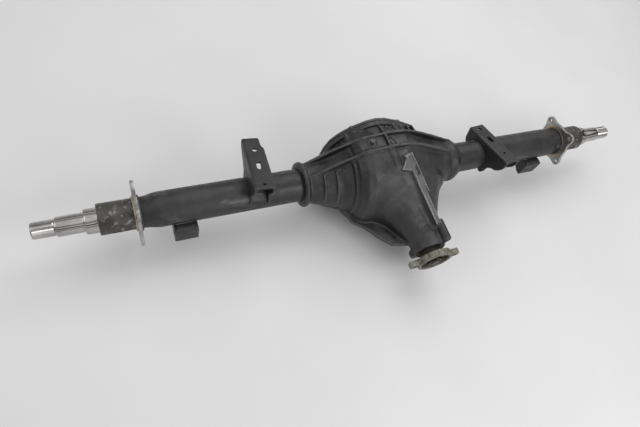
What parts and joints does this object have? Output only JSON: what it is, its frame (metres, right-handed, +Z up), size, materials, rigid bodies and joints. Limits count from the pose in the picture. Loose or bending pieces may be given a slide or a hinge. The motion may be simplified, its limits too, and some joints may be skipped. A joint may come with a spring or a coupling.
{
  "type": "rear axle differential assembly",
  "caption": "Full-floating truck rear axle: cast differential housing with tubes, stepped spindles, brake flanges, spring seats and a working ring-and-pinion open differential.",
  "frame": {"origin": "middle of the assembly's box in plan, on the flat underside of the casting it stands on; the axle axis is 155.5 mm up and 86.5 mm behind the origin", "axes": "+X along the axle, +Z up through the spring seats' side, pinion pointing to -Y"},
  "size_m": [2.054, 0.511, 0.3255],
  "materials": {
    "black_paint": "satin black paint over rough casting and tube",
    "bracket_paint": "satin black paint, faintly green, on pressed plate",
    "machined_steel": "bright turned steel with fine lengthwise and round tool marks",
    "flange_plate": "dull silver plate, heat-tinted beside the weld",
    "gear_steel": "oiled dark gear steel",
    "bearing_steel": "ground bearing steel",
    "pinion_flange_steel": "olive-grey phosphated forging",
    "fastener": "dark zinc-plated steel",
    "seal_rubber": "matt black rubber",
    "gasket": "dark blue-grey pressed gasket"
  },
  "bodies": {
    "axle_housing": {"carrier_housing": "black_paint", "axle_tube_left": "black_paint", "axle_tube_right": "black_paint", "spindle_left": "machined_steel", "spindle_right": "machined_steel", "brake_flange_left": "flange_plate", "brake_flange_right": "flange_plate", "shock_bracket_left": "black_paint", "shock_bracket_right": "black_paint", "spring_perch_left": "bracket_paint", "spring_perch_right": "bracket_paint", "bearing_cap_left": "black_paint", "bearing_cap_right": "black_paint", "carrier_bearing_cup_left": "bearing_steel", "carrier_bearing_cup_right": "bearing_steel", "rear_cover": "black_paint", "cover_gasket": "gasket", "cover_bolt_1": "fastener", "cover_bolt_2": "fastener", "cover_bolt_3": "fastener", "cover_bolt_4": "fastener", "cover_bolt_5": "fastener", "cover_bolt_6": "fastener", "cover_bolt_7": "fastener", "cover_bolt_8": "fastener", "cover_bolt_9": "fastener", "cover_bolt_10": "fastener", "fill_plug": "fastener", "drain_plug": "fastener", "breather_vent": "fastener", "cap_bolt_1": "fastener", "cap_bolt_2": "fastener", "cap_bolt_3": "fastener", "cap_bolt_4": "fastener", "pinion_bearing_cup_rear": "bearing_steel", "pinion_bearing_cup_front": "bearing_steel", "pinion_seal": "seal_rubber"},
    "pinion": {"pinion_shaft": "gear_steel", "pinion_flange": "pinion_flange_steel", "pinion_nut": "fastener", "pinion_bearing_cone_rear": "bearing_steel", "pinion_bearing_cone_front": "bearing_steel", "pinion_spacer": "bearing_steel"},
    "differential": {"differential_case": "gear_steel", "ring_gear": "gear_steel", "cross_pin": "bearing_steel", "carrier_bearing_cone_left": "bearing_steel", "carrier_bearing_cone_right": "bearing_steel"},
    "left_side_gear": {"side_gear_left": "gear_steel"},
    "right_side_gear": {"side_gear_right": "gear_steel"},
    "front_spider_gear": {"spider_gear_front": "gear_steel"},
    "rear_spider_gear": {"spider_gear_rear": "gear_steel"}
  },
  "joints": [
    {"name": "differential_spin", "type": "hinge", "parent": "axle_housing", "child": "differential", "pos_m": [0.034, 0.0865, 0.1555], "axis": [1, 0, 0], "continuous": true},
    {"name": "pinion_spin", "type": "hinge", "parent": "axle_housing", "child": "pinion", "pos_m": [0.074, -0.1135, 0.1255], "axis": [0, 1, 0], "continuous": true},
    {"name": "side_gear_left_spin", "type": "hinge", "parent": "differential", "child": "left_side_gear", "pos_m": [0.026, 0.0865, 0.1555], "axis": [1, 0, 0], "continuous": true},
    {"name": "side_gear_right_spin", "type": "hinge", "parent": "differential", "child": "right_side_gear", "pos_m": [0.07, 0.0865, 0.1555], "axis": [1, 0, 0], "continuous": true},
    {"name": "spider_gear_front_spin", "type": "hinge", "parent": "differential", "child": "front_spider_gear", "pos_m": [0.048, 0.0485, 0.1555], "axis": [0, 1, 0], "continuous": true},
    {"name": "spider_gear_rear_spin", "type": "hinge", "parent": "differential", "child": "rear_spider_gear", "pos_m": [0.048, 0.1245, 0.1555], "axis": [0, 1, 0], "continuous": true}
  ],
  "couplings": [
    {"joint": "pinion_spin", "follows": "differential_spin", "ratio": -3.7273},
    {"joint": "side_gear_right_spin", "follows": "side_gear_left_spin", "ratio": -1},
    {"joint": "spider_gear_front_spin", "follows": "side_gear_left_spin", "ratio": -1.6},
    {"joint": "spider_gear_rear_spin", "follows": "side_gear_left_spin", "ratio": 1.6}
  ]
}
